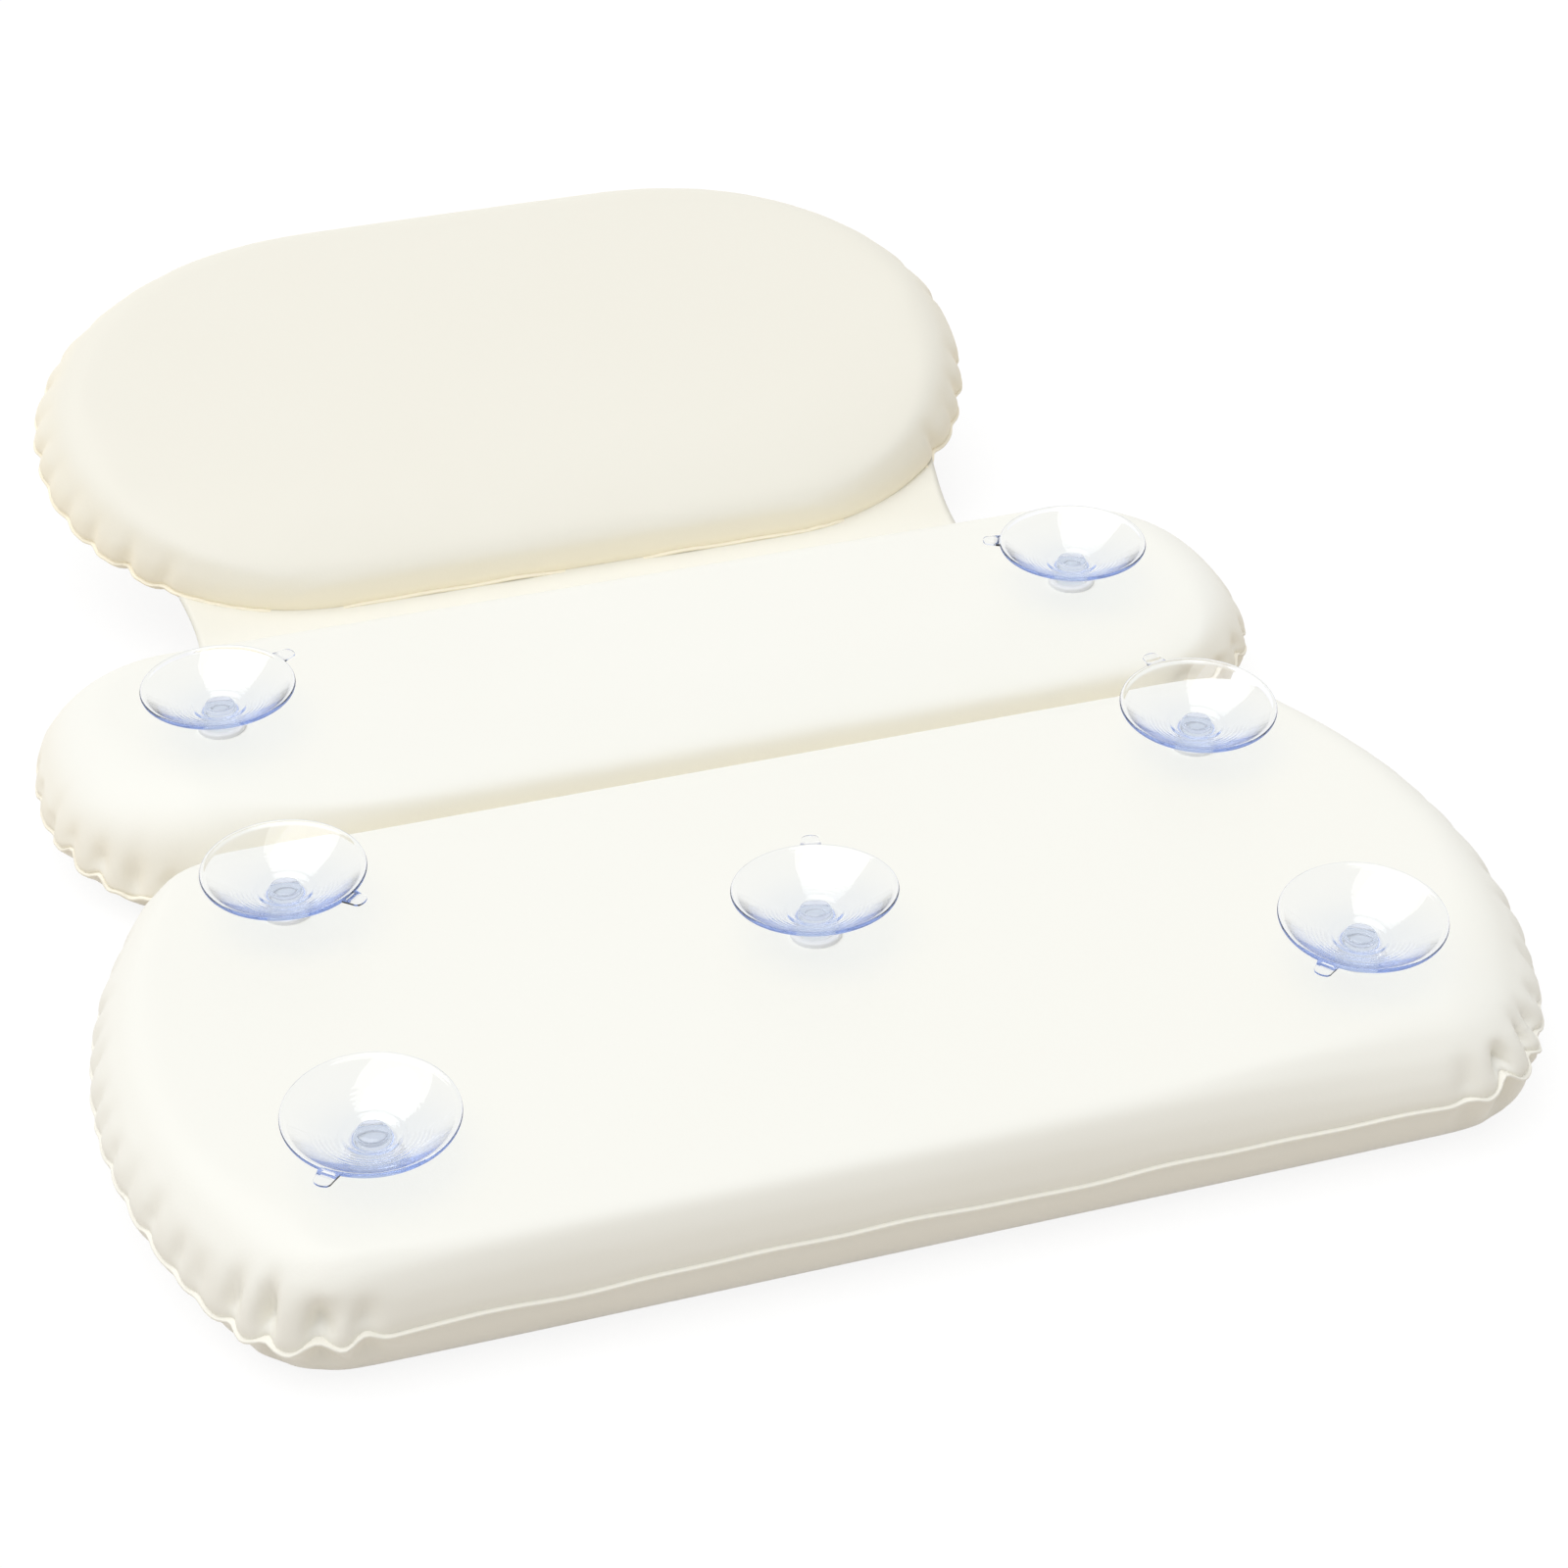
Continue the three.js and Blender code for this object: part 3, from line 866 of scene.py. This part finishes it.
# Webs: a flat grid pulled from one seam to the other, bent along its middle
webStyle = {
    "columns": 120,
    "rows": 16,
    "thickness": 1.1 * mm,
    "tuck": 1.5 * mm,
    "waist": 0.02,
    "softBend": 1 * mm,
}


def edgeSetback(plan, x):
    arcs = planArcs(plan)
    past = max(abs(x) - arcs["cornerX"], 0)
    return plan["corner"] - math.sqrt(max(plan["corner"] ** 2 - past ** 2, 0))


def makeWeb(name, node, plans, length, halfWidth, tilt, shift, foldY, tint):
    bm = bmesh.new()
    bmesh.ops.create_grid(bm, x_segments=webStyle["columns"], y_segments=webStyle["rows"], size=0.5)
    for v in bm.verts:
        share = v.co.y + 0.5
        reach = halfWidth * (1 - webStyle["waist"] * math.sin(math.pi * share))
        x = shift / 2 + 2 * v.co.x * reach
        near = length / 2 + edgeSetback(plans[0], x) + webStyle["tuck"]
        far = length / 2 + edgeSetback(plans[1], x - shift) + webStyle["tuck"]
        along = share * (near + far) - near
        bend = tilt * min(max((along + length / 2) / length, 0), 1)
        slope = tilt if along > 0 else 0
        soft = math.sin(bend / 2) * webStyle["softBend"]
        v.co = (x, foldY + along * math.cos(slope), seamZ + along * math.sin(slope) + soft)
    bmesh.ops.recalc_face_normals(bm, faces=bm.faces)
    flatArea = sum(face.calc_area() for face in bm.faces)
    mesh = toMesh(bm, name)
    # Painted shade: the web is painted from plain cream at its near seam to the head's painted shade at its
    # far seam, by the tint share
    paintedShadeShares = [tint * (v.co.y - foldY + length / 2) / length for v in mesh.vertices]
    web = addPiece(name, mesh, webPaintedShadeVinyl)
    addShare(mesh, "paintedWallLightShare", np.clip(paintedShadeShares, 0, 1))
    wall = web.modifiers.new("wall", "SOLIDIFY")
    wall.thickness = webStyle["thickness"]
    wall.offset = 0
    bakeModifiers(web)
    smoothShade(web.data)
    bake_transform(web)
    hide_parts(node)
    print(name, "made")
    return web


makeWeb(
    "lower_fold_web",
    "lower_web",
    plans=(lowerPlan, middlePlan),
    length=webs["lowerLength"],
    halfWidth=webs["lowerHalf"],
    tilt=0,
    shift=0,
    foldY=lowerFoldY,
    tint=0.0,
)
makeWeb(
    "head_fold_web",
    "head_web",
    plans=(middlePlan, headPlan),
    length=webs["headLength"],
    halfWidth=webs["headHalf"],
    tilt=webs["headTilt"],
    shift=webs["headShift"],
    foldY=headFoldY,
    tint=1.0,
)

def turnProfile(profile, turns):
    bm = bmesh.new()
    spots = [bm.verts.new((r, 0, z)) for r, z in profile]
    edges = [bm.edges.new(pair) for pair in zip(spots, spots[1:])]
    bmesh.ops.spin(
        bm,
        geom=spots + edges,
        cent=(0, 0, 0),
        axis=(0, 0, 1),
        angle=2 * math.pi,
        steps=turns,
        use_merge=True,
    )
    bmesh.ops.remove_doubles(bm, verts=bm.verts, dist=0.001)
    return bm


# Suction cups: one turned profile in millimetres, with a pull tab drawn out of the lip
cupStyle = {
    "radius": 22.5,
    "height": 14.4,
    "bowlDepth": 8.0,
    "rimWall": 0.9,
    "floorWall": 2.3,
    "neck": 4.5,
    "nub": 4.4,
    "nubHeight": 1.5,
    "ring": 7.3,
    "ringHeight": 0.3,
    "ringWidth": 0.55,
    "ripple": 0.03,
    "ripplePitch": 1.3,
    "rippleFrom": 8.5,
    "rippleTo": 14.5,
    "lip": 0.9,
    "studTop": -2.7,
    "studRadius": 6.4,
    "studThickness": 3.3,
    "tintFrom": 14.0,
    "tintTo": 20.0,
    "turns": 96,
    "tabFaces": 3,
    "tabLength": 5.0,
    "tabHalf": 2.5,
    "tabSteps": ((0.5, 1.0), (0.3, 0.92), (0.15, 0.7), (0.05, 0.45)),
    "tabTint": 0.15,
    "tabMargin": 0.2,
    "boreTop": 0.6,
    "sharpAngle": math.radians(45),
}
# Where each pull tab points, in degrees
cupTabs = {
    "front_left": 231,
    "front_right": 222,
    "centre": 75,
    "back_left": 310,
    "back_right": 100,
    "middle_left": 27,
    "middle_right": 159,
}


def cupProfile(style):
    rim = style["radius"] - style["lip"]
    floor = style["height"] - style["bowlDepth"]

    def dish(r):
        rippled = style["rippleFrom"] < r < style["rippleTo"]
        wave = style["ripple"] * math.cos(2 * math.pi * r / style["ripplePitch"]) if rippled else 0
        ridge = style["ringHeight"] * math.exp(-(((r - style["ring"]) / style["ringWidth"]) ** 2))
        return floor + style["bowlDepth"] * (r / rim) ** 2 + wave + ridge

    def under(r):
        share = (r - style["neck"]) / (style["radius"] - style["neck"])
        wall = style["floorWall"] + (style["rimWall"] - style["floorWall"]) * share
        return floor + style["bowlDepth"] * (r / rim) ** 2 - wall

    nubTop = dish(style["nub"]) + style["nubHeight"]
    nub = style["nub"]
    points = [(0, nubTop), (nub * 0.5, nubTop), (nub - 0.7, nubTop - 0.05), (nub - 0.25, nubTop - 0.25)]
    points += [(nub, nubTop - 0.7), (nub + 0.02, dish(nub) + 0.5), (nub + 0.2, dish(nub) + 0.15)]
    points += [(nub + 0.6, dish(nub + 0.6))]
    inner = np.linspace(nub + 1.0, rim - 0.3, 52)
    points += [(r, dish(r)) for r in inner]
    top = style["height"]
    points += [(rim, top - 0.06), (rim + 0.3, top), (rim + 0.6, top - 0.06), (rim + 0.82, top - 0.25)]
    edge = style["radius"]
    points += [(edge, top - 0.5), (edge - 0.08, top - 0.8), (edge - 0.4, top - 1.05)]
    outer = np.linspace(style["radius"] - 1.0, style["neck"] + 1.6, 26)
    points += [(r, under(r)) for r in outer]
    base = under(style["neck"] + 1.6)
    neck = style["neck"]
    points += [(neck + 0.8, base - 0.45), (neck + 0.25, base - 1.0), (neck, base - 1.8), (neck, 0.5)]
    studTop = style["studTop"]
    studFloor = studTop - style["studThickness"]
    points += [(neck, studTop), (style["studRadius"], studTop - 0.4), (style["studRadius"], studFloor + 0.5)]
    points += [(style["studRadius"] - 0.5, studFloor), (0, studFloor)]
    return points


def makeCup(name, place, body, node):
    bm = turnProfile(cupProfile(cupStyle), cupStyle["turns"])
    drawTab(bm)
    bmesh.ops.recalc_face_normals(bm, faces=bm.faces)
    start, end = cupStyle["tintFrom"], cupStyle["tintTo"]
    radii = [math.hypot(v.co.x, v.co.y) for v in bm.verts]
    rims = [min(max((radius - start) / (end - start), 0), 1) for radius in radii]
    tabFrom = cupStyle["radius"] + cupStyle["tabMargin"]
    rims = [cupStyle["tabTint"] if radius > tabFrom else rim for radius, rim in zip(radii, rims)]
    inBore = [int(max(v.co.z for v in face.verts) < cupStyle["boreTop"]) for face in bm.faces]
    bmesh.ops.transform(bm, matrix=place @ Matrix.Scale(mm, 4), verts=bm.verts)
    mesh = toMesh(bm, name)
    cup = addPiece(name, mesh, clearCupVinyl)
    cup.visible_diffuse = False
    mesh.materials.append(anchorVinyl)
    mesh.polygons.foreach_set("material_index", inBore)
    addShare(mesh, "rimShare", rims)
    smoothShade(mesh)
    mesh.set_sharp_from_angle(angle=cupStyle["sharpAngle"])
    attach(cup, body)
    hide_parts(node)
    return cup


# The lip's outer faces that look along +X are drawn out into the tab and rounded
def drawTab(bm):
    reach = cupStyle["tabFaces"] * math.pi / cupStyle["turns"] * 1.01
    lip = cupStyle["height"] - cupStyle["lip"]
    faces = []
    for face in bm.faces:
        centre = face.calc_center_median()
        out = math.hypot(centre.x, centre.y) > cupStyle["radius"] - 0.12
        if out and centre.z > lip and abs(math.atan2(centre.y, centre.x)) < reach:
            faces.append(face)
    for share, width in cupStyle["tabSteps"]:
        grown = bmesh.ops.extrude_face_region(bm, geom=faces)
        bmesh.ops.delete(bm, geom=faces, context="FACES_KEEP_BOUNDARY")
        faces = [f for f in grown["geom"] if isinstance(f, bmesh.types.BMFace)]
        verts = list({v for f in faces for v in f.verts})
        for v in verts:
            v.co.x += share * cupStyle["tabLength"]
        widest = max(abs(v.co.y) for v in verts)
        target = width * cupStyle["tabHalf"]
        for v in verts:
            v.co.y *= target / widest


# Anchors, in millimetres: the collar that holds the stud shows round each neck
anchorStyle = {
    "top": 1.2,
    "collar": 7.0,
    "bore": 5.0,
    "flange": 9.9,
    "flangeTop": -1.1,
    "flangeThickness": 1.0,
    "socket": 7.3,
    "wall": 8.5,
    "roof": -1.8,
    "floor": -6.9,
    "bottom": -8.1,
    "turns": 64,
}


def makeAnchor(name, place, body, node):
    style = anchorStyle
    profile = [
        (0, style["bottom"]),
        (style["wall"], style["bottom"]),
        (style["wall"], style["flangeTop"] - style["flangeThickness"]),
        (style["flange"], style["flangeTop"] - style["flangeThickness"]),
        (style["flange"], style["flangeTop"]),
        (style["collar"] + 0.3, style["flangeTop"]),
        (style["collar"], style["flangeTop"] + 0.4),
        (style["collar"], style["top"] - 0.5),
        (style["collar"] - 0.15, style["top"] - 0.15),
        (style["collar"] - 0.5, style["top"]),
        (style["bore"] + 0.4, style["top"]),
        (style["bore"] + 0.1, style["top"] - 0.12),
        (style["bore"], style["top"] - 0.4),
        (style["bore"], style["roof"]),
        (style["socket"], style["roof"]),
        (style["socket"], style["floor"]),
        (0, style["floor"]),
    ]
    bm = turnProfile(profile, style["turns"])
    bmesh.ops.recalc_face_normals(bm, faces=bm.faces)
    bmesh.ops.transform(bm, matrix=place @ Matrix.Scale(mm, 4), verts=bm.verts)
    mesh = toMesh(bm, name)
    anchor = addPiece(name, mesh, anchorVinyl)
    smoothShade(mesh)
    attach(anchor, body)
    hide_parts(node)
    return anchor


for spot, tabTurn in cupTabs.items():
    swivel = joints["swivel_" + spot]
    lean = math.atan2(-swivel["axis"][1], swivel["axis"][2])
    stand = Matrix.Translation(swivel["pos_m"])
    tipped = stand @ Matrix.Rotation(lean, 4, "X") @ Matrix.Rotation(math.radians(tabTurn), 4, "Z")
    makeCup("clear_cup_" + spot, tipped, swivel["child"], "suction_cup_" + spot)
    makeAnchor("cup_collar_" + spot, stand, swivel["parent"], "cup_anchor_" + spot)
print("cups and collars made:", len(cupTabs))

# Studio: pale floor, white surroundings, one large soft lamp overhead
studio = {
    "floorSize": 12.0,
    "floorColor": (0.15, 0.15, 0.15, 1),
    "floorBounce": (0.73, 0.675, 0.61, 1),
    "floorGlow": 0.87,
    "skyLight": 0.52,
    "lampStrength": 1.68,
    "lampSpread": math.radians(60),
    "lampTurn": (math.radians(-4), math.radians(-15), 0),
}


# One for a ray that the camera, a mirror or clear vinyl sends, nought for other light
def addSeenShare(tree):
    path = addNode(tree, "ShaderNodeLightPath")
    seen = addNode(tree, "ShaderNodeMath", operation="MAXIMUM")
    clear = addNode(tree, "ShaderNodeMath", operation="MAXIMUM")
    tree.links.new(path.outputs["Is Camera Ray"], seen.inputs[0])
    tree.links.new(path.outputs["Is Glossy Ray"], seen.inputs[1])
    tree.links.new(seen.outputs[0], clear.inputs[0])
    tree.links.new(path.outputs["Is Transmission Ray"], clear.inputs[1])
    return clear.outputs[0]


def addWorld(style):
    world = bpy.data.worlds.new("whiteStudio")
    world.use_nodes = True
    scene.world = world
    tree = world.node_tree
    sky = tree.nodes["Background"]
    level = addNode(tree, "ShaderNodeMapRange", {3: style["skyLight"], 4: 1.0})
    tree.links.new(addSeenShare(tree), level.inputs["Value"])
    tree.links.new(level.outputs["Result"], sky.inputs["Strength"])
    sky.inputs["Color"].default_value = (1, 1, 1, 1)


def addFloor(style):
    bm = bmesh.new()
    bmesh.ops.create_grid(bm, x_segments=1, y_segments=1, size=style["floorSize"] / 2)
    mesh = toMesh(bm, "floor")
    material, tree, shader = newMaterial("paleFloor")
    shader.inputs["Roughness"].default_value = 0.9
    shader.inputs["Specular IOR Level"].default_value = 0.1
    seen = addSeenShare(tree)
    colors = {6: style["floorBounce"], 7: style["floorColor"]}
    color = addNode(tree, "ShaderNodeMix", colors, data_type="RGBA")
    glow = addNode(tree, "ShaderNodeMath", {1: style["floorGlow"]}, operation="MULTIPLY")
    tree.links.new(seen, color.inputs["Factor"])
    tree.links.new(color.outputs[2], shader.inputs["Base Color"])
    tree.links.new(seen, glow.inputs[0])
    tree.links.new(glow.outputs[0], shader.inputs["Emission Strength"])
    shader.inputs["Emission Color"].default_value = (1, 1, 1, 1)
    floor = addPiece("floor", mesh, material)


def addLamp(style):
    data = bpy.data.lights.new("softLamp", "SUN")
    data.energy = style["lampStrength"]
    data.angle = style["lampSpread"]
    lamp = bpy.data.objects.new("softLamp", data)
    lamp.rotation_euler = style["lampTurn"]
    scene.collection.objects.link(lamp)


addWorld(studio)
addFloor(studio)
addLamp(studio)
print("studio made")
